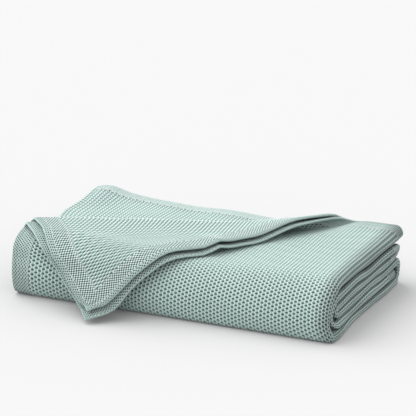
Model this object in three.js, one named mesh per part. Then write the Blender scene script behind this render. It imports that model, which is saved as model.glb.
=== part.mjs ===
// Knitted blanket, one piece of thick cotton knit with its own knitted border, folded and stacked.
// It is folded in half across, so every layer of the stack is a pair of plies joined at the right end.
// The doubled band is then folded in thirds and in half again, which gives six bands one above another.
// The back left corner of the top band is turned forward over a soft diagonal crease and hangs to the floor.
// Millimetres, +Z up, +X along the folded length, +Y towards the back. The origin is the middle of the
// underside. Inside the model, lengths are first measured from the front left corner of the stack.
import * as THREE from 'three';

// Driving dimensions
const FOLDED_LENGTH = 640;
const PLY = 5.4;
const BAND_GAP = 1.6;
const BACK_EDGE = 357;

// Height of each band's middle and the thickness it takes up, at the front and at the back
const BANDS = {
  A: { frontHeight: 96, backHeight: 101, frontThick: 23, backThick: 27 },
  B: { frontHeight: 71, backHeight: 78.5, frontThick: 18, backThick: 15 },
  C: { frontHeight: 53.5, backHeight: 62.5, frontThick: 14, backThick: 15 },
  D: { frontHeight: 38, backHeight: 46, frontThick: 16, backThick: 16 },
  E: { frontHeight: 22, backHeight: 27, frontThick: 16, backThick: 22 },
  F: { frontHeight: 7, backHeight: 7.5, frontThick: 14, backThick: 15 },
};
const FRONT_AT = 40;
const BACK_AT = 340;

// The band's path from the hem on top to the hem inside: straight runs and the folds between them
const PATH = [
  { run: 'A', from: BACK_EDGE, to: 70, rows: 0 },
  { fold: 'front face', waistY: 1, waistZ: 28, reach: [42, 32, 15, 7], rows: 0 },
  { run: 'F', from: 11, to: 330, rows: 5 },
  { fold: 'back, outer', handles: [26, 26], side: 1, rows: 7 },
  { run: 'D', from: 330, to: 57, rows: 4 },
  { fold: 'front, inner', handles: [10.5, 10.5], side: -1, rows: 6 },
  { run: 'C', from: 57, to: 316, rows: 4 },
  { fold: 'back, upper', handles: [12, 12], side: 1, rows: 6 },
  { run: 'B', from: 316, to: 60, rows: 5 },
  { fold: 'front, middle', handles: [34, 35], side: -1, rows: 9 },
  { run: 'E', from: 44, to: 330, rows: 5 },
];
const STEPS = 24;

// The turned-back corner: where its crease meets the left edge and the hem, measured from the corner,
// and the radius of the soft roll along it
const CREASE_AT_SIDE = 275;
const CREASE_AT_HEM = 565;
const CREASE_RADIUS = { side: 8.5, hem: 15, from: 380, to: 590 };

// The top band is pressed thin under the corner and loosens towards the right end
const UNDER_CORNER = { thick: 14, looseFrom: 260, looseTo: 560, besideShare: 0.55, besideWidth: 60 };

// How the corner settles: its gaps, how far it is stretched, and how its two plies slip in the roll
const CORNER_GAP = 1;
const SETTLE = 60;
const STRETCH = { even: 1.06, tip: 14 };
const PLY_SPREAD = 4;
const SLIP = { least: 0.4, from: 40, to: 200 };

// The path on which the corner hangs clear of the front face and its tip lies on the floor
const HANG = { startY: 48, endY: -66, endZ: 3, reach: 60, slope: [40, 10] };

// The corner's left hems stand out, its lip is raised near the back and its long hem is drawn in
const HEM_OUT = { outer: 18, inner: 5, from: -60, to: 10, width: 150, skew: 0.09 };
const LIP = { height: 14, from: 250, to: 450, width: 30 };
const HEM_PULL = { depth: 22, width: 140, rise: [20, 120], fall: [150, 260] };

// Looser left end: how much higher it stands and how far its front face bellies out
const LEFT_END = { length: 420, lift: 0.12, liftLoss: 0.01, liftFrom: 60 };
const FRONT_BELLY = { height: 110, belly: 9, lean: 17, reach: 90 };
const UPPER_BACK = { reach: 50, from: 480, to: 640, rise: 100, fall: 110 };

// Share of the cloth's width that goes round the fold at the right end
const FOLD_SHARE = 0.06;

// Mesh density: columns on each ply, rows of each stretch, and the rows beside the crease by distance
const CREASE_COLUMNS = 22;
const FACE_COLUMNS = 14;
const INNER_COLUMNS = 8;
const LAST_COLUMNS = 2;
const FOLD_COLUMNS = 4;
const BESIDE_CREASE = [4, 8, 12, 17, 23];
const CORNER_ROWS = 12;
const TOP_ROWS = 6;
const TOP_ROWS_END = 320;
const TOP_ROWS_CROWD = 1.6;
const FACE_ROWS = 12;

const KNIT = { color: 0xa9c4bc, roughness: 0.95, metalness: 0 };

const clamp01 = (t) => Math.min(1, Math.max(0, t));
const mix = (a, b, t) => a + (b - a) * t;

function smooth(value, from, to) {
  const t = clamp01((value - from) / (to - from));
  return t * t * (3 - 2 * t);
}

// Section of the folded band: middle line and thickness, point by point
function bandAt(name, y) {
  const band = BANDS[name];
  const t = clamp01((y - FRONT_AT) / (BACK_AT - FRONT_AT));
  return {
    y,
    z: mix(band.frontHeight, band.backHeight, t),
    thick: mix(band.frontThick, band.backThick, t),
  };
}

function bezier(a, b, c, d, t) {
  const u = 1 - t;
  const blend = (key) => u ** 3 * a[key] + 3 * u * u * t * b[key] + 3 * u * t * t * c[key] + t ** 3 * d[key];
  return { y: blend('y'), z: blend('z') };
}

function roundFold(start, end, { handles, side }) {
  const startHandle = { y: start.y + side * handles[0], z: start.z };
  const endHandle = { y: end.y + side * handles[1], z: end.z };
  return (t) => bezier(start, startHandle, endHandle, end, t);
}

function frontFace(start, end, { waistY, waistZ, reach }) {
  const [top, aboveWaist, belowWaist, bottom] = reach;
  const waist = { y: waistY, z: waistZ };
  const upper = [start, { y: start.y - top, z: start.z }, { y: waistY, z: waistZ + aboveWaist }, waist];
  const lower = [waist, { y: waistY, z: waistZ - belowWaist }, { y: end.y - bottom, z: end.z }, end];
  return (t) => (t < 0.5 ? bezier(...upper, 2 * t) : bezier(...lower, 2 * t - 1));
}

function sectionPath() {
  const points = [];
  const ends = [];
  PATH.forEach((piece, index) => {
    const before = PATH[index - 1];
    const after = PATH[index + 1];
    const start = piece.run ? bandAt(piece.run, piece.from) : bandAt(before.run, before.to);
    const end = piece.run ? bandAt(piece.run, piece.to) : bandAt(after.run, after.from);
    const curve = piece.handles ? roundFold(start, end, piece) : piece.fold && frontFace(start, end, piece);
    for (let step = index === 0 ? 0 : 1; step <= STEPS; step += 1) {
      const t = step / STEPS;
      const point = curve ? curve(t) : bandAt(piece.run, mix(piece.from, piece.to, t));
      points.push({ y: point.y, z: point.z, thick: point.thick ?? mix(start.thick, end.thick, t) });
    }
    ends.push(points.length - 1);
  });
  let along = 0;
  points.forEach((point, index) => {
    if (index > 0) along += Math.hypot(point.y - points[index - 1].y, point.z - points[index - 1].z);
    point.along = along;
  });
  return { points, ends: ends.map((index) => points[index].along) };
}

// The turned-back corner's own path: along the top, over the front edge and slanting down to the floor
function hangPath() {
  const start = bandAt('A', HANG.startY);
  const end = { y: HANG.endY, z: HANG.endZ };
  const startHandle = { y: start.y - HANG.reach, z: start.z };
  const endHandle = { y: end.y + HANG.slope[0], z: end.z + HANG.slope[1] };
  const points = [{ ...bandAt('A', BACK_EDGE), along: 0 }];
  let along = BACK_EDGE - HANG.startY;
  for (let step = 0; step <= STEPS; step += 1) {
    const point = { ...bezier(start, startHandle, endHandle, end, step / STEPS), thick: start.thick };
    if (step > 0) along += Math.hypot(point.y - points.at(-1).y, point.z - points.at(-1).z);
    points.push({ ...point, along });
  }
  return { points };
}

const SECTION = sectionPath();
const CORNER_PATH = hangPath();
const [TOP_END, FACE_END, , , , INNER_FRONT_END, , , UPPER_END] = SECTION.ends;

function pathPoint(along, path = SECTION) {
  const { points } = path;
  const distance = Math.min(Math.max(along, 0), points.at(-1).along);
  let low = 0;
  let high = points.length - 1;
  while (high - low > 1) {
    const middle = (low + high) >> 1;
    if (points[middle].along <= distance) low = middle;
    else high = middle;
  }
  const a = points[low];
  const b = points[high];
  const t = (distance - a.along) / (b.along - a.along);
  const over = along - distance;
  return {
    y: mix(a.y, b.y, t) + (over * (b.y - a.y)) / (b.along - a.along),
    z: mix(a.z, b.z, t) + (over * (b.z - a.z)) / (b.along - a.along),
    thick: mix(a.thick, b.thick, t),
  };
}

// Middle of the band at a distance along its path, and the direction square to it
function pathFrame(along, path) {
  const reach = 2;
  const here = pathPoint(along, path);
  const before = pathPoint(along - reach, path);
  const after = pathPoint(along + reach, path);
  const length = Math.hypot(after.y - before.y, after.z - before.z);
  return { ...here, normalY: (after.z - before.z) / length, normalZ: (before.y - after.y) / length };
}

// The crease as a line on the flat cloth
const CREASE_LENGTH = Math.hypot(CREASE_AT_HEM, CREASE_AT_SIDE);
const ACROSS = CREASE_AT_SIDE / CREASE_LENGTH;
const ALONG = CREASE_AT_HEM / CREASE_LENGTH;
const CORNER_DEPTH = CREASE_AT_SIDE * ALONG;

// Distance of a place beyond the crease, less than 0 on the part that stays put
function pastCrease(x, along) {
  return -(x * ACROSS + (along - CREASE_AT_SIDE) * ALONG);
}

function bandThickness(x, along, thick) {
  if (along >= FACE_END) return thick;
  const away = -pastCrease(x, along);
  const beside = mix(UNDER_CORNER.besideShare, 1, smooth(away, 0, UNDER_CORNER.besideWidth));
  const loose = smooth(x, UNDER_CORNER.looseFrom, UNDER_CORNER.looseTo) * beside;
  const free = mix(loose, 1, smooth(along, TOP_END, FACE_END));
  return mix(UNDER_CORNER.thick, thick, free);
}

function halfSpacing(x, along) {
  return (bandThickness(x, along, pathPoint(along).thick) - BAND_GAP - PLY) / 2;
}

// Place of a point of the cloth. x and along are its place in the band, middle is the offset of its ply's
// middle from the band's middle, and offset its own.
function place(x, along, middle, offset) {
  const past = pastCrease(x, along);
  const foot = x * ALONG - (along - CREASE_AT_SIDE) * ACROSS;
  const { side, hem, from, to } = CREASE_RADIUS;
  const radius = mix(side, hem, smooth(foot, from, to));
  const begin = (-Math.PI * radius) / 2;
  const nearHem = (1 - smooth(x, 0, HEM_OUT.width)) * (1 - smooth(along, TOP_END, FACE_END));
  const out = nearHem * (middle > 0 ? HEM_OUT.outer : HEM_OUT.inner) * smooth(past, HEM_OUT.from, HEM_OUT.to);
  if (past <= begin || along >= FACE_END) return settle(x - out * ALONG, along + out * ACROSS, offset, 0);
  const held = (1 - smooth(x, SLIP.from, SLIP.to)) * (1 - smooth(past, SLIP.from, SLIP.to));
  const slip = mix(SLIP.least, 1, held);
  const plyRadius = radius - slip * middle;
  const angle = Math.min((past - begin) / plyRadius, Math.PI);
  const flat = Math.max(0, past - begin - Math.PI * plyRadius);
  const beyond = flat * STRETCH.even + STRETCH.tip * (flat / CORNER_DEPTH) ** 2;
  const back = begin + (radius - offset) * Math.sin(angle) - beyond;
  const raise = radius - (radius - offset) * Math.cos(angle);
  const newX = x + (past - back) * ACROSS - out * ALONG;
  const newAlong = along + (past - back) * ALONG + out * ACROSS;
  if (beyond === 0) return settle(newX, newAlong, raise, angle / Math.PI);
  const under = bandThickness(newX, newAlong, pathPoint(newAlong, CORNER_PATH).thick);
  const own = bandThickness(x, along, pathPoint(along).thick);
  const spread = middle < 0 ? PLY_SPREAD : 0;
  const drop = (2 * radius - (own + under) / 2 - CORNER_GAP - spread) * (1 - Math.exp(-beyond / SETTLE));
  const lip = LIP.height * smooth(x, LIP.from, LIP.to) * (1 - Math.exp(-beyond / LIP.width));
  const skew = nearHem * HEM_OUT.skew * beyond;
  const drawn = smooth(x, ...HEM_PULL.rise) * (1 - smooth(x, ...HEM_PULL.fall));
  const pull = HEM_PULL.depth * drawn * (1 - smooth(along, 0, HEM_PULL.width));
  return settle(newX - skew - pull, newAlong, raise - drop + lip, 1);
}

// Puts a flat place onto the folded path. turned is 0 on the stack and 1 on the turned-back corner.
function settle(x, along, offset, turned) {
  const onStack = pathFrame(along, SECTION);
  const onCorner = turned > 0 ? pathFrame(along, CORNER_PATH) : onStack;
  const at = (key) => mix(onStack[key], onCorner[key], turned);
  const thick = at('thick');
  const low = along < FACE_END ? (thick - bandThickness(x, along, thick)) / 2 : 0;
  const reach = offset - low;
  const y = at('y') + at('normalY') * reach;
  const z = at('z') + at('normalZ') * reach - BAND_GAP / 2;
  return loosen(x, turned > 0 ? y : upperBack(x, along, y), z);
}

// Away from the right end the second band from the top reaches further back
function upperBack(x, along, y) {
  const here = 1 - smooth(x, UPPER_BACK.from, UPPER_BACK.to);
  const onC = smooth(along, INNER_FRONT_END, INNER_FRONT_END + UPPER_BACK.rise);
  const onB = 1 - smooth(along, UPPER_END - UPPER_BACK.fall, UPPER_END);
  return y + UPPER_BACK.reach * here * onC * onB * smooth(y, FRONT_AT, BACK_AT);
}

function loosen(x, y, z) {
  const left = 1 - smooth(x, 0, LEFT_END.length);
  const lift = left * (LEFT_END.lift - LEFT_END.liftLoss * smooth(y, BACK_AT / 2, BACK_AT));
  const height = z * (1 + lift * smooth(z, 0, LEFT_END.liftFrom));
  const belly = FRONT_BELLY.belly * Math.sin(Math.PI * clamp01(height / FRONT_BELLY.height));
  const lean = FRONT_BELLY.lean * smooth(height, FRONT_BELLY.height * 0.64, FRONT_BELLY.height);
  return [x, y - left * (belly + lean) * (1 - smooth(y, 0, FRONT_BELLY.reach)), height];
}

// A point of the cloth's face or back. u runs from the left hem of the upper ply (-1) round the right
// fold (0) to the left hem of the lower ply (1).
function clothPoint(u, along, faceSide) {
  const half = halfSpacing(FOLDED_LENGTH * (1 - Math.abs(u)), along);
  const upper = u < 0 ? 1 : -1;
  if (Math.abs(u) >= FOLD_SHARE) {
    const run = FOLDED_LENGTH - half - PLY / 2;
    const x = (run * (1 - Math.abs(u))) / (1 - FOLD_SHARE);
    return place(x, along, upper * half, upper * (half + (faceSide * PLY) / 2));
  }
  const angle = ((-u / FOLD_SHARE) * Math.PI) / 2;
  const radius = half + (faceSide * PLY) / 2;
  const x = FOLDED_LENGTH - half - PLY / 2 + radius * Math.cos(angle);
  return place(x, along, half * Math.sin(angle), radius * Math.sin(angle));
}

// Columns of the grid across both plies, from one left hem round the right fold to the other
function columnPlaces(count) {
  const hemShare = (CREASE_AT_HEM / FOLDED_LENGTH) * (1 - FOLD_SHARE);
  const side = [];
  for (let i = 0; i < count; i += 1) side.push(-1 + (hemShare * i) / count);
  for (let i = 0; i < LAST_COLUMNS; i += 1) {
    side.push(-1 + hemShare + ((1 - FOLD_SHARE - hemShare) * i) / LAST_COLUMNS);
  }
  const fold = [];
  for (let i = 0; i <= FOLD_COLUMNS; i += 1) fold.push(FOLD_SHARE * (-1 + (2 * i) / FOLD_COLUMNS));
  return [...side, ...fold, ...side.map((u) => -u).reverse()];
}

function creaseAlong(u) {
  const x = (FOLDED_LENGTH * (1 - Math.abs(u))) / (1 - FOLD_SHARE);
  return Math.max(0, CREASE_AT_SIDE * (1 - x / CREASE_AT_HEM));
}

// A row of the grid: each point carries its place along the row, used to join rows of unlike counts
const gridRow = (count, alongAt) => columnPlaces(count).map((u) => ({ u, along: alongAt(u), at: u }));

// Rows of the main grid: beside the crease, on the top, down the front face, then the rest of the path
function mainRows() {
  const rows = [0, ...BESIDE_CREASE].map((far) => gridRow(CREASE_COLUMNS, (u) => creaseAlong(u) + far / ALONG));
  const last = BESIDE_CREASE.at(-1) / ALONG;
  for (let i = 1; i <= TOP_ROWS; i += 1) {
    const share = 1 - (1 - i / TOP_ROWS) ** TOP_ROWS_CROWD;
    rows.push(gridRow(CREASE_COLUMNS, (u) => mix(creaseAlong(u) + last, TOP_ROWS_END, share)));
  }
  for (let i = 1; i <= FACE_ROWS; i += 1) {
    rows.push(gridRow(FACE_COLUMNS, () => mix(TOP_ROWS_END, FACE_END, i / FACE_ROWS)));
  }
  PATH.slice(2).forEach((piece, index) => {
    const start = SECTION.ends[index + 1];
    const end = SECTION.ends[index + 2];
    for (let i = 1; i <= piece.rows; i += 1) {
      rows.push(gridRow(INNER_COLUMNS, () => mix(start, end, i / piece.rows)));
    }
  });
  return rows;
}

// Rows of one turned-back corner, parallel to the crease, each with fewer points towards the tip
function cornerRows(creaseRow) {
  const last = creaseRow.length - 1;
  const shares = BESIDE_CREASE.map((far) => 1 - far / CORNER_DEPTH);
  const start = shares.at(-1);
  for (let i = 1; i < CORNER_ROWS; i += 1) shares.push(start * (1 - i / CORNER_ROWS));
  const ply = Math.sign(creaseRow[0].u);
  const rows = [0, ...shares].map((share, which) => {
    if (which === 0) return creaseRow.map((point, i) => ({ ...point, at: i / last }));
    const count = Math.max(1, Math.round(share * last));
    const row = [];
    for (let i = 0; i <= count; i += 1) {
      const x = (i / count) * share;
      const fromHem = share - x;
      row.push({
        u: ply * (1 - (x * CREASE_AT_HEM * (1 - FOLD_SHARE)) / FOLDED_LENGTH),
        along: CREASE_AT_SIDE * fromHem,
        at: i / count,
      });
    }
    return row;
  });
  return [...rows, [{ u: ply, along: 0, at: 0 }]];
}

// Triangles between two rows of a grid
function stitch(rowA, rowB, faces) {
  let i = 0;
  let j = 0;
  while (i < rowA.length - 1 || j < rowB.length - 1) {
    const stepA = j === rowB.length - 1 || (i < rowA.length - 1 && rowA[i + 1].at <= rowB[j + 1].at);
    if (stepA) faces.push([rowA[i], rowA[i + 1], rowB[j]]);
    else faces.push([rowA[i], rowB[j + 1], rowB[j]]);
    if (stepA) i += 1;
    else j += 1;
  }
}

// The whole cloth laid flat, as triangles of named places
function flatPattern() {
  const rows = mainRows();
  const crease = rows[0];
  const firstHem = crease.findIndex((point) => point.along < 0.001);
  const corners = [crease.slice(0, firstHem + 1), crease.slice(-firstHem - 1).reverse()];
  const faces = [];
  for (let i = 1; i < rows.length; i += 1) stitch(rows[i - 1], rows[i], faces);
  corners.forEach((corner, which) => {
    const cornerFaces = [];
    const grid = cornerRows(corner);
    for (let i = 1; i < grid.length; i += 1) stitch(grid[i - 1], grid[i], cornerFaces);
    cornerFaces.forEach(([a, b, c]) => faces.push(which === 0 ? [a, c, b] : [a, b, c]));
  });
  return faces;
}

// The cloth as one closed solid: its face, its back and the edge between them
function clothSolid() {
  const points = [];
  const numbers = new Map();
  const faces = flatPattern().map((corners) => corners.map((point) => {
    const name = `${point.u.toFixed(6)} ${point.along.toFixed(3)}`;
    if (!numbers.has(name)) {
      numbers.set(name, points.length);
      points.push(point);
    }
    return numbers.get(name);
  }));
  const count = points.length;
  const position = [];
  for (const side of [1, -1]) points.forEach(({ u, along }) => position.push(...clothPoint(u, along, side)));
  const triangles = [];
  const edges = new Map();
  faces.forEach(([a, b, c]) => {
    triangles.push(a, c, b, count + a, count + b, count + c);
    [[a, b], [b, c], [c, a]].forEach(([p, q]) => {
      if (edges.has(`${q} ${p}`)) edges.delete(`${q} ${p}`);
      else edges.set(`${p} ${q}`, [p, q]);
    });
  });
  edges.forEach(([p, q]) => triangles.push(p, q, count + q, p, count + q, count + p));
  return { position, triangles };
}

function centred({ position, triangles }) {
  const geometry = new THREE.BufferGeometry();
  geometry.setAttribute('position', new THREE.Float32BufferAttribute(position, 3));
  geometry.setIndex(triangles);
  geometry.computeBoundingBox();
  const { min, max } = geometry.boundingBox;
  geometry.translate(-(min.x + max.x) / 2, -(min.y + max.y) / 2, -min.z);
  geometry.computeVertexNormals();
  return geometry;
}

const blanket = new THREE.Mesh(centred(clothSolid()), new THREE.MeshStandardMaterial(KNIT));
blanket.name = 'blanket';

const group = new THREE.Group();
group.add(blanket);

export default group;
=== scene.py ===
"""A knitted cotton blanket, folded into a stack of six doubled bands, with one corner turned down in front."""
import math

import bpy
import numpy as np
from mathutils import Matrix, Vector


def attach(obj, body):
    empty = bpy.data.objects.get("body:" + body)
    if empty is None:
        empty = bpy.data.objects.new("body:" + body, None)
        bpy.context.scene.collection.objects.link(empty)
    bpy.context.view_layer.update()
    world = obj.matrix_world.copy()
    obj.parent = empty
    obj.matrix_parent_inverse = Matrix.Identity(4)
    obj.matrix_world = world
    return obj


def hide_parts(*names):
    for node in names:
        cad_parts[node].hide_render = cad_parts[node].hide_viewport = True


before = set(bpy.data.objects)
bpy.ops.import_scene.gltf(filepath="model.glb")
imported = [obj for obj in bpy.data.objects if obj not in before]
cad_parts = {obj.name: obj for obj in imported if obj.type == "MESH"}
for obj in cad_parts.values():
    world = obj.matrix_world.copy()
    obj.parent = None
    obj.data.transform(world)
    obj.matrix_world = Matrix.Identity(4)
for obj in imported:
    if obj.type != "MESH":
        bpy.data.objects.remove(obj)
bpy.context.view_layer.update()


# Camera: a long lens, a little to the right of the front and a little above. Its turn, height and place
# come from matching the corners of the folded stack to the photograph.
TURN, RISE = math.radians(24.327), math.radians(19.701)
CAMERA_AT = (3.64573, -8.01941, 3.32314)
FOCAL_PIXELS, IMAGE_PIXELS, SENSOR_WIDTH = 5000, 416, 36

rightwards = Vector((math.cos(TURN), math.sin(TURN), 0))
backwards = Vector((math.sin(TURN) * math.cos(RISE), -math.cos(TURN) * math.cos(RISE), math.sin(RISE)))
upwards = backwards.cross(rightwards)
camera = bpy.data.objects.new("camera", bpy.data.cameras.new("camera"))
camera.data.sensor_width = SENSOR_WIDTH
camera.data.lens = SENSOR_WIDTH * FOCAL_PIXELS / IMAGE_PIXELS
camera.data.clip_start, camera.data.clip_end = 0.5, 60
turned = Matrix((rightwards, upwards, backwards)).transposed().to_4x4()
camera.matrix_world = Matrix.Translation(CAMERA_AT) @ turned
bpy.context.collection.objects.link(camera)
bpy.context.scene.camera = camera


# The blanket: one piece of thick cotton knit, 1.29 by 2.01 m. It is folded in half across, so each layer is
# a pair of plies joined at the right end, and the doubled band is folded in thirds and once more in half.
# Lengths in this section are millimetres, measured from the front left corner of the stack.
HALF_WIDTH, LENGTH, PLY = 645, 2009, 5.4
FOLDED_LENGTH, BAND_GAP = 640, 1.6
HALF_ROUND = 18  # cloth on either side of the middle of the right end's round fold
STACK_MIDDLE = np.array([312.93, 144.69, 0])

# Each band's height at its middle, then its thickness, both given in front and behind
FRONT_STATION, BACK_STATION = 40, 340
BANDS = {
    "A": (96, 101, 23, 27), "B": (71, 78.5, 18, 15), "C": (53.5, 62.5, 14, 15),
    "D": (38, 46, 16, 16), "E": (22, 27, 16, 22), "F": (7, 7.5, 14, 15),
}
# The runs in the order of the cloth, each from one y to another. The front face bends through its waist, and
# every bend's handles reach out from the two runs that it joins.
RUNS = [("A", 357, 70), ("F", 11, 330), ("D", 330, 57), ("C", 57, 316), ("B", 316, 60), ("E", 44, 330)]
WAIST = (1, 28)
FRONT_REACH = (42, 32, 15, 7)
ROUND_FOLDS = [(26, 26), (-10.5, -10.5), (12, 12), (-34, -35)]
# The hanging corner leaves the top band near its front edge and ends on the floor in front
HANG_FROM, HANG_END, HANG_REACH = 48, (-66, 3), ((-60, 0), (40, 10))

# The turned-back corner: where its crease crosses the side and the hem, how far it turns at its far end, and
# the roll's radius at its near and far end. Under the corner and beside it the band is pressed thin.
CREASE_AT_SIDE, CREASE_AT_HEM = 275, 565
CREASE_TURN, NEAR_ROLL, FAR_ROLL = 18, 8.5, 15
PRESSED, FREE_AT_CREASE = 14, 0.1
ACROSS = CREASE_AT_SIDE / math.hypot(CREASE_AT_SIDE, CREASE_AT_HEM)
ALONG = CREASE_AT_HEM / math.hypot(CREASE_AT_SIDE, CREASE_AT_HEM)

# How the stack settles: away from the right end the two bands under the top one reach further back, and at
# the left the stack swells and its front bellies out
FURTHER_BACK = 50
SWELL, SWELL_LESS_BEHIND = 0.12, 0.01
BELLY, TOP_BELLY = 9, 17
# How far the hems of the corner's upper and lower ply stand out, and how much more at the tip. The corner
# hangs stretched a little, longer at the tip, and drawn towards its left side. Its hem over the stack lifts
# to a lip with a ripple beside it, and its plies slip on each other round the crease and lie a little apart.
UPPER_HEM_OUT, LOWER_HEM_OUT = (8, 9), (5, 7)
STRETCH, MORE_TO_TIP, TIP_LONGER, UPPER_LONGER = 1.06, 14, 6, 10
PULL, SIDE_PULL, LIP, RIPPLE = 22, 0.09, 17, 6
PLY_SLIP, PLY_GAP, LOWER_GAP = 0.4, 1, 4
# Unevenness of a hand-folded stack: slow waves, bulges of the left end, the full and sagging right end, and
# a back edge that rises at the left corner, dips beside it and is rounded there
WAVE = 0.8
LEFT_FRONT_BULGE, LEFT_TOP_BULGE = 9, 8
RIGHT_FOOT, RIGHT_UNEVEN, RIGHT_BACK_OUT, RIGHT_BACK_FULL, RIGHT_SAG = 9, 2, 4, 12, 3.2
CORNER_LIFT, BACK_DIP, LONG_BACK_DIP, CORNER_ROUND = 9, 5, 4, 9


def smooth(value, start, end):
    """0 before the start, 1 past the end, and eased in between."""
    t = np.clip((value - start) / (end - start), 0, 1)
    return t * t * (3 - 2 * t)


def mix(a, b, t):
    return a + (b - a) * t


def bump(value, middle, reach):
    """1 at the middle, falling off softly to both sides."""
    return np.exp(-((value - middle) / reach) ** 2)


def on_band(name, y):
    front, back, front_thick, back_thick = BANDS[name]
    t = min(1, max(0, (y - FRONT_STATION) / (BACK_STATION - FRONT_STATION)))
    return np.array([y, mix(front, back, t), mix(front_thick, back_thick, t)])


def bend(corners, steps, thick_from, thick_to):
    """Points of a soft bend through four corners, with the band's thickness as a third number."""
    t = np.linspace(0, 1, steps + 1)[:, None]
    a, b, c, d = (np.array(corner[:2], float) for corner in corners)
    line = (1 - t) ** 3 * a + 3 * (1 - t) ** 2 * t * b + 3 * (1 - t) * t * t * c + t ** 3 * d
    return np.hstack([line, mix(thick_from, thick_to, t)])


def fold_path():
    """Middle line of the band in the stack's section, and the lengths along it where runs end."""
    runs = [np.array([on_band(name, y) for y in np.linspace(a, b, 25)]) for name, a, b in RUNS]
    start, end = runs[0][-1], runs[1][0]
    halfway = mix(start[2], end[2], 0.5)
    top, above, below, bottom = FRONT_REACH
    face = np.vstack([
        bend([start, (start[0] - top, start[1]), (WAIST[0], WAIST[1] + above), WAIST], 12, start[2], halfway),
        bend([WAIST, (WAIST[0], WAIST[1] - below), (end[0] - bottom, end[1]), end], 12, halfway, end[2])[1:]])
    pieces = [runs[0], face[1:], runs[1][1:]]
    for (out, back), before, after in zip(ROUND_FOLDS, runs[1:], runs[2:]):
        start, end = before[-1], after[0]
        corners = [start, (start[0] + out, start[1]), (end[0] + back, end[1]), end]
        pieces += [bend(corners, 24, start[2], end[2])[1:], after[1:]]
    points = np.vstack(pieces)
    steps = np.hypot(*np.diff(points[:, :2], axis=0).T)
    along = np.concatenate([[0], np.cumsum(steps)])
    ends = along[np.cumsum([len(piece) for piece in pieces]) - 1]
    return np.column_stack([points, along]), ends


def hanging_path():
    """Path of the turned-back corner: along the top, over the front edge and down to the floor."""
    hem_at = RUNS[0][1]
    start, end = on_band("A", HANG_FROM), HANG_END
    (out, down), (back, up) = HANG_REACH
    corners = [start, (start[0] + out, start[1] + down), (end[0] + back, end[1] + up), end]
    line = bend(corners, 24, start[2], start[2])
    lengths = np.cumsum(np.hypot(*np.diff(line[:, :2], axis=0).T))
    along = hem_at - HANG_FROM + np.concatenate([[0], lengths])
    return np.vstack([[*on_band("A", hem_at), 0], np.column_stack([line, along])])


STACK, RUN_ENDS = fold_path()
CORNER = hanging_path()
TOP_END, FACE_END, INNER_FRONT_END, UPPER_END = RUN_ENDS[0], RUN_ENDS[1], RUN_ENDS[5], RUN_ENDS[8]


def path_point(path, along):
    y, z, thick, length = path.T
    inside = np.clip(along, 0, length[-1])
    over = along - inside
    near, far = (path[1] - path[0]) / (length[1] - length[0]), (path[-1] - path[-2]) / (length[-1] - length[-2])
    return (np.interp(inside, length, y) + over * np.where(over < 0, near[0], far[0]),
            np.interp(inside, length, z) + over * np.where(over < 0, near[1], far[1]),
            np.interp(inside, length, thick))


def path_frame(path, along):
    """A point of the path with its thickness and the direction straight out of the band there."""
    step = 2
    y, z, thick = path_point(path, along)
    y0, z0, _ = path_point(path, along - step)
    y1, z1, _ = path_point(path, along + step)
    length = np.hypot(y1 - y0, z1 - z0)
    return np.stack([y, z, thick, (z1 - z0) / length, (y0 - y1) / length])


def past_crease(x, along):
    """How far a place lies past the crease, which turns a little towards the hem at its far end."""
    turn = CREASE_TURN * smooth(x, 430, 560) * (1 - smooth(along, 0, 110))
    return -(x * ACROSS + (along - CREASE_AT_SIDE) * ALONG) - turn


def band_thickness(x, along, thick):
    """The top band is pressed thin under the corner and loosens towards the right end."""
    beside = mix(FREE_AT_CREASE, 1, smooth(-past_crease(x, along), 0, 80))
    beside = mix(beside, 1, smooth(x, 505, 570))
    free = mix(smooth(x, 260, 560) * beside, 1, smooth(along, TOP_END, FACE_END))
    return np.where(along >= FACE_END, thick, mix(PRESSED, thick, free))


def settle(x, along, offset, turned):
    """Puts a flat place onto the folded path. turned is 0 on the stack and 1 on the corner."""
    y, z, thick, normal_y, normal_z = mix(path_frame(STACK, along), path_frame(CORNER, along), turned)
    reach = offset - np.where(along < FACE_END, (thick - band_thickness(x, along, thick)) / 2, 0)
    y, z = y + normal_y * reach, z + normal_z * reach - BAND_GAP / 2
    on_c = smooth(along, INNER_FRONT_END, INNER_FRONT_END + 100)
    on_b = 1 - smooth(along, UPPER_END - 110, UPPER_END)
    y = y + FURTHER_BACK * (1 - smooth(x, 480, 640)) * on_c * on_b * smooth(y, 40, 340)
    left = 1 - smooth(x, 0, 420)
    z = z * (1 + left * (SWELL - SWELL_LESS_BEHIND * smooth(y, 170, 340)) * smooth(z, 0, 60))
    belly = BELLY * np.sin(np.pi * np.clip(z / 110, 0, 1)) + TOP_BELLY * smooth(z, 70.4, 110)
    return np.stack([x, y - left * belly * (1 - smooth(y, 0, 90)), z], -1)


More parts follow.
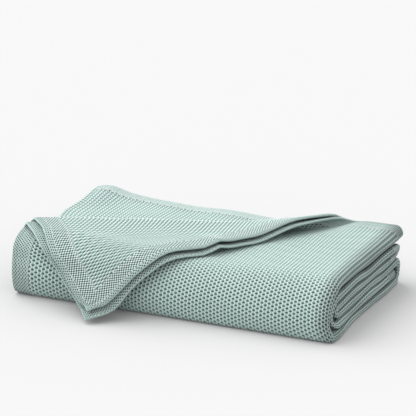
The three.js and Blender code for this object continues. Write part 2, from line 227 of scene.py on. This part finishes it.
def fold_over(x, along, middle, offset):
    """Place of a point of the band, turned over the crease where it lies past it."""
    past = past_crease(x, along)
    radius = mix(NEAR_ROLL, FAR_ROLL, smooth(x * ALONG - (along - CREASE_AT_SIDE) * ACROSS, 380, 590))
    begin = -np.pi * radius / 2
    near_hem = (1 - smooth(x, 0, 150)) * (1 - smooth(along, TOP_END, FACE_END))
    tip = (1 - smooth(x, 0, 70)) * (1 - smooth(along, 0, 70))
    hem_out = np.where(middle > 0, UPPER_HEM_OUT[0] + UPPER_HEM_OUT[1] * tip,
                       LOWER_HEM_OUT[0] + LOWER_HEM_OUT[1] * tip)
    out = near_hem * hem_out * smooth(past, -60, 10)
    flat_place = settle(x - out * ALONG, along + out * ACROSS, offset, 0)

    slip = mix(PLY_SLIP, 1, (1 - smooth(x, 40, 200)) * (1 - smooth(past, 40, 200)))
    ply_radius = radius - slip * middle
    angle = np.clip((past - begin) / ply_radius, 0, np.pi)
    flat = np.maximum(0, past - begin - np.pi * ply_radius)
    beyond = flat * STRETCH + MORE_TO_TIP * (flat / (CREASE_AT_SIDE * ALONG)) ** 2
    longer = np.where(middle > 0, UPPER_LONGER * bump(x, 42, 34) * (1 - smooth(along, 0, 60)), 0)
    beyond = beyond + TIP_LONGER * tip + longer
    back = begin + (radius - offset) * np.sin(angle) - beyond
    height = radius - (radius - offset) * np.cos(angle)
    new_x = x + (past - back) * ACROSS - out * ALONG
    new_along = along + (past - back) * ALONG + out * ACROSS

    under = band_thickness(new_x, new_along, path_point(CORNER, new_along)[2])
    own = band_thickness(x, along, path_point(STACK, along)[2])
    gap = PLY_GAP + np.where(middle < 0, LOWER_GAP, 0)
    drop = (2 * radius - (own + under) / 2 - gap) * (1 - np.exp(-beyond / 60))
    lip = LIP * smooth(x, 325, 430) * (1 - np.exp(-beyond / 30))
    ripple = RIPPLE * smooth(x, 225, 255) * (1 - smooth(x, 300, 345)) + RIPPLE * bump(x, 254, 15)
    lip = lip + ripple * smooth(beyond, 60, 160)
    pull = PULL * smooth(x, 20, 120) * (1 - smooth(x, 150, 260)) * (1 - smooth(along, 0, 140)) * (beyond > 0)
    turned_x = new_x - near_hem * SIDE_PULL * beyond - pull
    turned_place = settle(turned_x, new_along, height - drop + lip, angle / np.pi)
    stays = (past <= begin) | (along >= FACE_END)
    return np.where(stays[..., None], flat_place, turned_place)


def ruffle(place):
    """The unevenness of a stack folded by hand: slow waves all over, full left and right ends with rounded
    corners, a raised back left corner and a dip along the back edge beside it."""
    x, y, z = np.moveaxis(place, -1, 0)
    wave = np.sin(x / 47 + 1.3) * np.sin(y / 61 + 0.4) + 0.6 * np.sin(x / 29 + y / 43 + 2.1)
    sway = np.sin(x / 58 + 0.7) * np.cos(z / 24) + 0.5 * np.sin(x / 31 + z / 17)
    slump = np.sin(y / 36 + z / 19 + 0.6) + 0.7 * np.sin(y / 19 - z / 13)
    left, right = 1 - smooth(x, 0, 70), smooth(x, 540, 640)

    front_bulge = LEFT_FRONT_BULGE * bump(z, 103, 36) * (1 - smooth(y, 40, 150))
    top_bulge = LEFT_TOP_BULGE * bump(y, 234, 38) * smooth(z, 60, 90)
    foot = RIGHT_FOOT * (1 - smooth(z, 0, 40)) * (1 - smooth(y, 20, 170))
    uneven = RIGHT_UNEVEN * slump * smooth(z, 0, 12) * (1 - smooth(z, 90, 112))
    back_out = RIGHT_BACK_OUT * bump(z, 82, 20) * smooth(y, 240, 330)
    new_x = x - left * (front_bulge + top_bulge)
    new_x = new_x + right * (foot + uneven + back_out)

    lift = CORNER_LIFT * bump(x, 22, 32) - BACK_DIP * bump(x, 122, 62) - LONG_BACK_DIP * bump(x, 213, 45)
    lift = lift * smooth(y, 240, 340) * smooth(z, 45, 85)
    sag = right * RIGHT_SAG * slump * smooth(z, 6, 25) * (1 - smooth(z, 84, 104))
    new_z = z + WAVE * wave * smooth(z, 8, 70) + lift + sag

    rounded = CORNER_ROUND * (1 - smooth(x, 0, 36)) * smooth(y, 285, 345)
    new_y = y + WAVE * sway * smooth(z, 5, 40) - rounded
    new_y = new_y + RIGHT_BACK_FULL * right * bump(z, 80, 14) * smooth(y, 240, 330)
    return np.stack([new_x, new_y, np.maximum(new_z, 0)], -1)


def cloth_place(across, along, depth):
    """Where a point of the flat cloth lies in the stack, in metres. across runs from the upper ply's left
    hem round the right end, at 0, to the lower ply's. depth is out from the middle of the cloth."""
    from_left = FOLDED_LENGTH * (1 - abs(across) / HALF_WIDTH)
    half = (band_thickness(from_left, along, path_point(STACK, along)[2]) - BAND_GAP - PLY) / 2
    round_x = FOLDED_LENGTH - half - PLY / 2
    angle = -across / HALF_ROUND * np.pi / 2
    upper = np.where(across < 0, 1, -1)
    on_fold = abs(across) < HALF_ROUND
    x = np.where(on_fold, round_x + (half + depth) * np.cos(angle),
                 round_x * (HALF_WIDTH - abs(across)) / (HALF_WIDTH - HALF_ROUND))
    middle = half * np.where(on_fold, np.sin(angle), upper)
    offset = (half + depth) * np.where(on_fold, np.sin(angle), upper)
    return (ruffle(fold_over(x, along, middle, offset)) - STACK_MIDDLE) / 1000


# The stitches: a staggered lattice of small hollows, one wale every 7.2 mm and one hollow every 6.9 mm on
# it, with a mesh of finer stitches in the border. Where the knit shows they are raised pieces, counted in
# blocks of one stitch. Elsewhere the cloth itself shows, with the same pattern as bump.
WALES, COURSES = 179, 291
WALE, COURSE = 2 * HALF_WIDTH / WALES, LENGTH / COURSES
WINDING = 0.45  # how far the ribs sway from wale to wale

# The border is five stitches wide. Its mesh has so many waves to a wale and to a course, and lies tilted on
# the turned-back corner. A border strip also runs along the upper layer's back edge, and on the courses
# around it the left hem has no border.
BORDER, MESH_COUNT, MESH_TILT = 5, (2.45, 1.25), 0.6
UPPER_BACK_EDGE, STRIP_NARROWED, NO_SIDE_BORDER = 1374 / COURSE, 0.8, 42

# On the turned-back corner the hollows lean near the crease, until so many mm past it, and the courses are
# drawn out and further on gathered, while the wales lie closer
LEAN, LEAN_FROM, LEAN_TO = 0.3, 20, 90
DRAWN_OUT, GATHERED, CLOSER = 0.37, -0.2, 0.15
LOWER_PLY = 100  # from here across, the lower ply shows, turned up on the corner

# Rise of the ribs and depth of the hollows in mm, in the knit and in the border's mesh, the raised line along
# the border, and how much flatter the knit is drawn round the right end. Under its raised stitches the cloth
# is lowered, and their pieces' edges and backs are sunk in it.
RIB_RISE, HOLLOW_DEPTH, LINE_RISE, FLATTENED = (1.2, 0.6), (2.0, 1.2), 0.6, 0.45
STAND, SUNK, BACK_BELOW = 2.2, 2.5, 0.3

# Blocks where each raised piece lies. The front face runs from its first course to the floor's, and the back
# folds show two runs of courses. Past the crease the upper ply is raised to the end of the roll.
UPPER_PLY_TO, LOWER_PLY_FROM, END_REACH = 84, 98, 6
FRONT_FROM, FLOOR_FROM, CORNER_TO, ROLL = 41, 67, 50, 26
BACK_FOLDS = (104, 120), (192, 236)
block_across, row = np.meshgrid(np.arange(WALES) + 0.5, np.arange(COURSES) + 0.5, indexing="ij")
from_left = HALF_WIDTH - abs(block_across * WALE - HALF_WIDTH)
past = past_crease(from_left, row * COURSE)
upper_ply, round_end = block_across < UPPER_PLY_TO, abs(block_across - WALES / 2) < END_REACH
at_back = np.logical_or.reduce([(row > start) & (row < end) for start, end in BACK_FOLDS])
parts = {
    "knit_top": (row < FRONT_FROM) & (upper_ply & (past < ROLL) | round_end),
    "knit_front": (row > FRONT_FROM) & (row < FLOOR_FROM) & (upper_ply | round_end),
    "knit_corner": (block_across > LOWER_PLY_FROM) & (row < CORNER_TO) & (past > -ROLL),
    "knit_right_end": (row > FLOOR_FROM) & round_end,
    "knit_back": upper_ply & at_back,
}
hemmed = (block_across > 1) & (block_across < WALES - 1) & (row > 1) & (row < COURSES - 1)
parts = {name: blocks & hemmed for name, blocks in parts.items()}
shown = np.logical_or.reduce(list(parts.values()))
ring = np.pad(shown, 1)
inner = (ring[1:, 1:] & ring[:-1, 1:] & ring[1:, :-1] & ring[:-1, :-1]).astype(float)


def stood_out(across, along):
    """1 where raised stitches stand on the cloth, falling to 0 over the last block before their edge."""
    i, j = np.clip((across + HALF_WIDTH) / WALE, 0, WALES - 1e-6), np.clip(along / COURSE, 0, COURSES - 1e-6)
    i0, j0 = i.astype(int), j.astype(int)
    s, t = i - i0, j - j0
    return mix(mix(inner[i0, j0], inner[i0 + 1, j0], s), mix(inner[i0, j0 + 1], inner[i0 + 1, j0 + 1], s), t)


def stitch_count(across, along):
    """Wales and courses up to a point. Past the crease the courses are drawn out, and near the tip
    gathered, and the wales lie a little closer."""
    past = past_crease(HALF_WIDTH - abs(across), along) * (along < FACE_END)
    step = 2
    reach = np.arange(0, 260 + step, step)
    drawn = np.interp(past, reach, np.cumsum(mix(DRAWN_OUT, GATHERED, smooth(reach, 80, 135))) * step)
    wales = (across + HALF_WIDTH + CLOSER * np.maximum(0, across - LOWER_PLY)) / WALE
    return wales, (along + ALONG * drawn) / COURSE


def stitch_height(across, along):
    """Height of the knit over its plain surface: thin ribs that wind between the hollows, a finer mesh in
    the border and a raised line along its inner side. Drawn tight round the right end, it is flatter."""
    i, j = stitch_count(across, along)
    side, end = (HALF_WIDTH - abs(across)) / WALE, along / COURSE
    strip = abs(end - UPPER_BACK_EDGE) + STRIP_NARROWED
    side = side + BORDER * (strip < NO_SIDE_BORDER)
    inset = np.minimum(np.minimum(side, end), np.minimum(COURSES - end, strip))
    mesh, aslant = inset < BORDER, across > LOWER_PLY
    i = np.pi * np.where(mesh, side * MESH_COUNT[0] + np.where(aslant, MESH_TILT * end, 0), i)
    j = 2 * np.pi * np.where(mesh, end * MESH_COUNT[1], j)
    lean = LEAN * (1 - smooth(past_crease(HALF_WIDTH - abs(across), along), LEAN_FROM, LEAN_TO))
    lattice = np.cos(i) * np.cos(j) - np.where(mesh | ~aslant, 0, lean) * np.sin(i) * np.sin(j)
    rib = np.where(aslant, smooth(-lattice, -0.2, 0.9), 1 - smooth(abs(np.cos(i) + WINDING * np.cos(j)), 0, 0.9))
    wider_by_border = np.where((inset > BORDER) & (inset < BORDER + 1.3), 1.3, 1)
    hollow = smooth(lattice, 0.15, 0.9) * wider_by_border
    line = LINE_RISE * bump(inset, BORDER - 0.35, 0.35)
    tight = 1 - FLATTENED * (1 - smooth(abs(across), 18, 45)) * smooth(along, 440, 475)
    rise, depth = np.where(mesh, RIB_RISE[1], RIB_RISE[0]), np.where(mesh, HOLLOW_DEPTH[1], HOLLOW_DEPTH[0])
    return tight * (rise * rib - depth * hollow) + line


def new_piece(name, points, faces, across, along, sharp_faces=None):
    """A closed piece of the knit. One UV map is its place on the flat cloth in metres, the other counts
    its stitches in tens. Where sharp_faces is given, the edge round that many first faces is sharp."""
    mesh = bpy.data.meshes.new(name)
    mesh.from_pydata(points.tolist(), [], faces)
    piece = bpy.data.objects.new(name, mesh)
    bpy.context.collection.objects.link(piece)
    corners = np.empty(len(mesh.loops), int)
    mesh.loops.foreach_get("vertex_index", corners)
    flat = np.column_stack([across + HALF_WIDTH, along]) / 1000
    for layer, values in (("flat_cloth", flat), ("stitches", np.column_stack(stitch_count(across, along)) / 10)):
        mesh.uv_layers.new(name=layer).data.foreach_set("uv", values[corners].ravel())
    mesh.shade_smooth()
    if sharp_faces is not None:
        front = np.zeros(len(mesh.polygons), bool)
        front[:sharp_faces] = True
        used = {}
        for polygon in mesh.polygons:
            for key in polygon.edge_keys:
                used.setdefault(key, set()).add(bool(front[polygon.index]))
        for edge in mesh.edges:
            if len(used[edge.key]) == 2:
                edge.use_edge_sharp = True
    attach(piece, "root")
    return piece


def stitched_piece(name, blocks, fine):
    """Raised stitches over these blocks: a fine outer face with relief and a plain back inside the cloth."""
    i_from, i_to = np.flatnonzero(blocks.any(1))[[0, -1]] + (0, 1)
    j_from, j_to = np.flatnonzero(blocks.any(0))[[0, -1]] + (0, 1)
    part = blocks[i_from:i_to, j_from:j_to]
    cells = np.kron(part, np.ones((fine, fine), bool))
    rows = cells.shape[1] + 1
    a, b = np.nonzero(cells)
    corner = a * rows + b
    quads = np.column_stack([corner, corner + rows, corner + rows + 1, corner + 1])
    lattice = np.pad(part, 1)
    inside = lattice[1:, 1:] & lattice[:-1, 1:] & lattice[1:, :-1] & lattice[:-1, :-1]
    size = (cells.shape[0] + 1) * rows
    back_index = np.arange(size, size + inside.size).reshape(inside.shape)

    def back_corner(p, q):
        return int(back_index[p, q]) if inside[p, q] else p * fine * rows + q * fine

    # One back face to a block. At the piece's edge it takes in the fine points of the front, so it closes.
    backs = []
    for p, q in zip(*np.nonzero(part)):
        sides = [((p, q), (p, q + 1), lattice[p, q + 1]), ((p, q + 1), (p + 1, q + 1), lattice[p + 1, q + 2]),
                 ((p + 1, q + 1), (p + 1, q), lattice[p + 2, q + 1]), ((p + 1, q), (p, q), lattice[p + 1, q])]
        face = []
        for (p0, q0), (p1, q1), neighbour in sides:
            face.append(back_corner(p0, q0))
            if not neighbour:
                face += [(p0 * fine + (p1 - p0) * n) * rows + q0 * fine + (q1 - q0) * n for n in range(1, fine)]
        backs.append(face)
    grid_i, grid_j = np.meshgrid(np.arange(cells.shape[0] + 1) / fine, np.arange(rows) / fine, indexing="ij")
    back_i, back_j = np.meshgrid(np.arange(part.shape[0] + 1), np.arange(part.shape[1] + 1), indexing="ij")
    across = (np.concatenate([grid_i.ravel(), back_i.ravel()]) + i_from) * WALE - HALF_WIDTH
    along = (np.concatenate([grid_j.ravel(), back_j.ravel()]) + j_from) * COURSE
    height = mix(-SUNK, stitch_height(across, along), smooth(stood_out(across, along), 0, 0.5))
    height[size:] = -SUNK - BACK_BELOW
    used = np.unique(np.concatenate([quads.ravel(), [n for face in backs for n in face]]))
    number = np.zeros(size + inside.size, int)
    number[used] = np.arange(len(used))
    across, along, height = across[used], along[used], height[used]
    faces = number[quads].tolist() + [[int(number[n]) for n in face] for face in backs]
    points = cloth_place(across, along, PLY / 2 + height)
    return new_piece(name, points, faces, across, along, len(quads))


# The cloth itself, hems and all: close rows at the hems, the crease and the folds, and wide ones on the runs.
# It is one closed sheet, a ply thick, with rounded hems.
HEM_STEPS = np.array([0, 0.2, 0.55, 1, 1.5, 2, 3, 4, 5])
HEM_BAND, HEM_ROUND = 5, 3.4
RUN_COLUMNS, FOLD_COLUMNS = 42, 13
CLOSE, MIDDLING, WIDE, TOP_TO = 4, 6.5, 15, 430
FOLDS = (770, 38), (1086, 20), (1371, 22), (1682, 48)  # middle and reach along the cloth

run_columns = np.linspace(HEM_BAND * WALE, HALF_WIDTH - HALF_ROUND, RUN_COLUMNS)[1:]
columns = np.concatenate([HEM_STEPS * WALE, run_columns]) - HALF_WIDTH
fold_columns = np.linspace(-HALF_ROUND, HALF_ROUND, FOLD_COLUMNS)[1:-1]
columns = np.concatenate([columns, fold_columns, -columns[::-1]])
rows, at = list(HEM_STEPS * COURSE), HEM_BAND * COURSE
while at < LENGTH - HEM_BAND * COURSE - CLOSE:
    on_fold = any(abs(at - middle) < reach for middle, reach in FOLDS)
    at += CLOSE if on_fold else MIDDLING if at < TOP_TO else WIDE
    rows.append(at)
rows = np.array(rows + list(LENGTH - HEM_STEPS[::-1] * COURSE))
across, along = (grid.ravel() for grid in np.meshgrid(columns, rows, indexing="ij"))
from_hem = np.minimum(HALF_WIDTH - abs(across), np.minimum(along, LENGTH - along))
full = np.sqrt(1 - np.clip(1 - from_hem / HEM_ROUND, 0, 1) ** 2) * PLY / 2
outer = cloth_place(across, along, full - STAND * smooth(stood_out(across, along), 0.5, 1))
under = cloth_place(across, along, -full)
count, deep = len(across), len(rows)
index = np.arange(count).reshape(len(columns), deep)
a, b, c, d = (block.ravel() for block in (index[:-1, :-1], index[1:, :-1], index[1:, 1:], index[:-1, 1:]))
rim = from_hem < 1e-6
below = np.where(rim, np.arange(count), np.arange(count) + count)
faces = np.vstack([np.column_stack([a, b, c, d]), np.column_stack([below[a], below[d], below[c], below[b]])])
used = np.unique(faces)
number = np.zeros(2 * count, int)
number[used] = np.arange(len(used))
across, along = np.tile(across, 2)[used], np.tile(along, 2)[used]
blanket = new_piece("blanket_cloth", np.vstack([outer, under])[used], number[faces].tolist(), across, along)
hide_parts("blanket")

FINE, LESS_SEEN = 6, 4  # steps to a stitch
knit = [stitched_piece(name, blocks, LESS_SEEN if name in ("knit_back", "knit_right_end") else FINE)
        for name, blocks in parts.items()]


# Knitted cotton yarn, soft and dull, dyed a pale sage green. A painted highlight makes the ribs paler, painted
# shade darkens the small hollows, where the light doesn't come out again, and a faint fuzz pales the cloth at a
# slant.
CREST, GROUND, HOLLOW, HEM, FUZZ = "#BEC4C2", "#79958F", "#1B3833", "#98ABA6", "#DCE8E5"
YARN, CLOUD = 900, 16  # noise to a metre: yarn about 1.1 mm thick, dye uneven over about 60 mm


def linear(colour):
    channels = [int(colour[n:n + 2], 16) / 255 for n in (1, 3, 5)]
    return [c / 12.92 if c <= 0.04045 else ((c + 0.055) / 1.055) ** 2.4 for c in channels] + [1]


def add(tree, kind, inputs=(), **settings):
    """Adds a node with its settings. inputs gives each socket a value or what it is linked to."""
    made = tree.nodes.new(kind)
    for key, value in settings.items():
        setattr(made, key, value)
    for socket, value in dict(inputs).items():
        if isinstance(value, bpy.types.NodeSocket):
            tree.links.new(value, made.inputs[socket])
        else:
            made.inputs[socket].default_value = value
    return made


def knitted_cotton(name, stitch_bump, lean=0):
    """The knit's colours and grain. stitch_bump is how far the stitches also show as bump: all of them on the
    plain cloth, a little of them on the raised pieces. lean is for the hollows of the turned-back corner."""
    material = bpy.data.materials.new(name)
    material.use_nodes = True
    tree = material.node_tree
    tree.nodes.clear()

    def maths(operation, *values, clamp=False):
        return add(tree, "ShaderNodeMath", enumerate(values), operation=operation, use_clamp=clamp).outputs[0]

    def blend_colour(amount, first, second, how="MIX"):
        mixed = add(tree, "ShaderNodeMix", {0: amount, 6: first, 7: second}, data_type="RGBA", blend_type=how)
        return mixed.outputs[2]

    def ease(value, start, end):
        return add(tree, "ShaderNodeMapRange", {0: value, 1: start, 2: end},
                   interpolation_type="SMOOTHSTEP").outputs[0]

    # Place on the flat cloth in stitches, and where the border lies
    flat = add(tree, "ShaderNodeUVMap", uv_map="flat_cloth").outputs[0]
    place = add(tree, "ShaderNodeSeparateXYZ", {0: flat})
    wale = maths("MULTIPLY", place.outputs[0], 1000 / WALE)
    course = maths("MULTIPLY", place.outputs[1], 1000 / COURSE)
    strip = maths("ADD", maths("ABSOLUTE", maths("SUBTRACT", course, UPPER_BACK_EDGE)), STRIP_NARROWED)
    side = maths("MINIMUM", wale, maths("SUBTRACT", WALES, wale))
    side = maths("ADD", side, maths("MULTIPLY", maths("LESS_THAN", strip, NO_SIDE_BORDER), BORDER))
    end = maths("MINIMUM", course, maths("SUBTRACT", COURSES, course))
    inset = maths("MINIMUM", maths("MINIMUM", side, end), strip)
    border = maths("LESS_THAN", inset, BORDER)
    body = maths("SUBTRACT", 1, border)
    count = add(tree, "ShaderNodeSeparateXYZ", {0: add(tree, "ShaderNodeUVMap", uv_map="stitches").outputs[0]})

    def phase(in_body, in_border, turn):
        both = maths("ADD", maths("MULTIPLY", in_body, maths("MULTIPLY", body, 10)),
                     maths("MULTIPLY", in_border, border))
        return maths("MULTIPLY", both, turn)

    # The same lattice as the raised stitches have, with its ribs and hollows
    tilted = maths("MULTIPLY", course, MESH_TILT if lean else 0)
    wales = phase(count.outputs[0], maths("ADD", maths("MULTIPLY", side, MESH_COUNT[0]), tilted), math.pi)
    courses = phase(count.outputs[1], maths("MULTIPLY", course, MESH_COUNT[1]), 2 * math.pi)
    wale_wave, course_wave = maths("COSINE", wales), maths("COSINE", courses)
    lattice = maths("MULTIPLY", wale_wave, course_wave)
    if lean:
        leaning = maths("MULTIPLY", maths("SINE", wales), maths("SINE", courses))
        past = maths("SUBTRACT", maths("MULTIPLY", place.outputs[0], ACROSS),
                     maths("MULTIPLY", place.outputs[1], ALONG))
        past = maths("ADD", past, (CREASE_AT_SIDE * ALONG - 2 * HALF_WIDTH * ACROSS) / 1000)
        near = maths("SUBTRACT", 1, ease(past, LEAN_FROM / 1000, LEAN_TO / 1000))
        leaning = maths("MULTIPLY", leaning, maths("MULTIPLY", maths("MULTIPLY", body, near), lean))
        lattice = maths("SUBTRACT", lattice, leaning)
        rib = ease(maths("MULTIPLY", lattice, -1), -0.2, 0.8)
    else:
        winding = maths("ABSOLUTE", maths("ADD", wale_wave, maths("MULTIPLY", course_wave, WINDING)))
        rib = maths("SUBTRACT", 1, ease(winding, 0.05, 0.75))

    # Hollows are flat ovals, a little wider in the mesh, with painted shade darkest in the row beside the end
    # hem's border.
    # The strip along the upper layer's back edge is plainer, with faint hollows and ribs.
    beside_border = maths("MULTIPLY", maths("LESS_THAN", maths("MINIMUM", end, strip), BORDER + 1.1), body)
    beside_border = maths("MULTIPLY", beside_border, 0 if lean else 0.5)
    pinched = maths("MULTIPLY", maths("POWER", maths("SINE", courses), 2), maths("MULTIPLY", body, -0.45))
    more = maths("ADD", maths("MULTIPLY", border, 0.15), beside_border)
    deep = maths("ADD", maths("ADD", lattice, pinched), more)
    plain_strip = maths("LESS_THAN", strip, BORDER)
    hollow = ease(deep, 0.1 if lean else 0.2, 0.5 if lean else 0.7)
    hollow = maths("MULTIPLY", hollow, maths("SUBTRACT", 0.95, maths("MULTIPLY", plain_strip, 0.5)))
    rib = maths("MAXIMUM", rib, maths("MULTIPLY", plain_strip, 0.3))
    # A painted highlight pales the raised line along the border's inner side
    painted_line_highlight = maths("MULTIPLY", ease(inset, 4.2, 4.65), maths("SUBTRACT", 1, ease(inset, 4.65, 5.1)))
    hem = maths("LESS_THAN", inset, 0.3)
    yarn = add(tree, "ShaderNodeTexNoise", {"Vector": flat, "Scale": YARN, "Detail": 2}).outputs[0]
    cloud = add(tree, "ShaderNodeTexNoise", {"Vector": flat, "Scale": CLOUD, "Detail": 2}).outputs[0]
    # Painted highlight on the ribs, then painted shade in the hollows
    colour = blend_colour(rib, linear(GROUND), linear(CREST))
    colour = blend_colour(hollow, colour, linear(HOLLOW))
    colour = blend_colour(maths("MULTIPLY", painted_line_highlight, 0.25), colour, linear(CREST))
    colour = blend_colour(hem, colour, linear(HEM))

    # Shade: the yarn's grain, slow clouds of dye, painted shade on the knit round the right end, deeper off its
    # ribs, a little lighter on the lower bands, and darker painted shade in the gaps between its folds
    from_fold = maths("ABSOLUTE", maths("SUBTRACT", wale, WALES / 2))
    painted_end_shade = maths("SUBTRACT", 1, ease(from_fold, 2, 6))
    # The painted shade is a little lighter on the lower bands round the right end, and darkest in the gaps
    # between their folds
    inner_fold = maths("MULTIPLY", painted_end_shade, ease(course, 64, 69))
    gap = maths("MULTIPLY", inner_fold, ease(from_fold, 1.1, 2.3))
    shade = maths("ADD", maths("MULTIPLY", yarn, 0.34), maths("MULTIPLY", cloud, 0.16))
    painted_end_shade = maths("MULTIPLY", painted_end_shade, maths("SUBTRACT", 0.5, maths("MULTIPLY", rib, 0.25)))
    shade = maths("SUBTRACT", maths("ADD", shade, 0.75), painted_end_shade)
    folds = maths("SUBTRACT", maths("MULTIPLY", inner_fold, 0.13), maths("MULTIPLY", gap, 0.5))
    shade = maths("ADD", shade, folds, clamp=True)
    tone = add(tree, "ShaderNodeCombineColor", {0: shade, 1: shade, 2: shade}).outputs[0]
    colour = blend_colour(1.0, colour, tone, "MULTIPLY")

    height = maths("SUBTRACT", maths("MULTIPLY", yarn, 0.12),
                   maths("MULTIPLY", maths("SUBTRACT", hollow, maths("MULTIPLY", rib, 0.5)), stitch_bump))
    grain = add(tree, "ShaderNodeBump", {"Strength": 0.8, "Distance": 0.0015, "Height": height})
    cotton = add(tree, "ShaderNodeBsdfPrincipled", {
        "Base Color": colour, "Roughness": 0.92, "Specular IOR Level": 0.18, "Normal": grain.outputs[0],
        "Sheen Weight": 0.15, "Sheen Roughness": 0.45, "Sheen Tint": linear(FUZZ)})
    add(tree, "ShaderNodeOutputMaterial", {0: cotton.outputs[0]})
    return material


ALL_BUMP, LITTLE_BUMP = 1.0, 0.25
blanket.data.materials.append(knitted_cotton("cotton_knit_plain", ALL_BUMP))
raised = knitted_cotton("cotton_knit_raised", LITTLE_BUMP)
aslant = knitted_cotton("cotton_knit_pulled_aslant", LITTLE_BUMP, LEAN)
for piece in knit:
    piece.data.materials.append(aslant if piece.name == "knit_corner" else raised)


# The floor is one plain pale sheet, lit by a broad soft light from the upper left and a room light that is
# a little stronger from the left.
FLOOR_REACH, FLOOR_COLOUR = 14, "#B4B4B4"
ROOM_LEFT, ROOM_RIGHT, WINDOW = 1.75, 1.3, 2.35

floor_corners = [(x * FLOOR_REACH, y * FLOOR_REACH, 0) for x, y in ((-1, -1), (1, -1), (1, 1), (-1, 1))]
floor_mesh = bpy.data.meshes.new("floor")
floor_mesh.from_pydata(floor_corners, [], [(0, 1, 2, 3)])
floor = bpy.data.objects.new("floor", floor_mesh)
bpy.context.collection.objects.link(floor)
paper = bpy.data.materials.new("matt_pale_paper")
paper.use_nodes = True
matt = paper.node_tree.nodes["Principled BSDF"].inputs
matt["Base Color"].default_value = linear(FLOOR_COLOUR)
matt["Roughness"].default_value = 1
matt["Specular IOR Level"].default_value = 0
floor_mesh.materials.append(paper)

room = bpy.data.worlds.new("room")
room.use_nodes = True
sky = room.node_tree
around = add(sky, "ShaderNodeSeparateXYZ", {0: add(sky, "ShaderNodeTexCoord").outputs["Generated"]})
strength = add(sky, "ShaderNodeMapRange", {0: around.outputs[0], 1: -0.9, 2: 0.9, 3: ROOM_LEFT, 4: ROOM_RIGHT})
sky.links.new(strength.outputs[0], sky.nodes["Background"].inputs["Strength"])
sky.nodes["Background"].inputs["Color"].default_value = linear("#FFFFFF")
bpy.context.scene.world = room
window = bpy.data.objects.new("window", bpy.data.lights.new("window", "SUN"))
window.data.energy, window.data.angle = WINDOW, math.radians(65)
window.rotation_euler = Vector((0.95, -0.15, -1.0)).to_track_quat("-Z", "Y").to_euler()
bpy.context.collection.objects.link(window)
bpy.context.scene.view_settings.view_transform = "Standard"
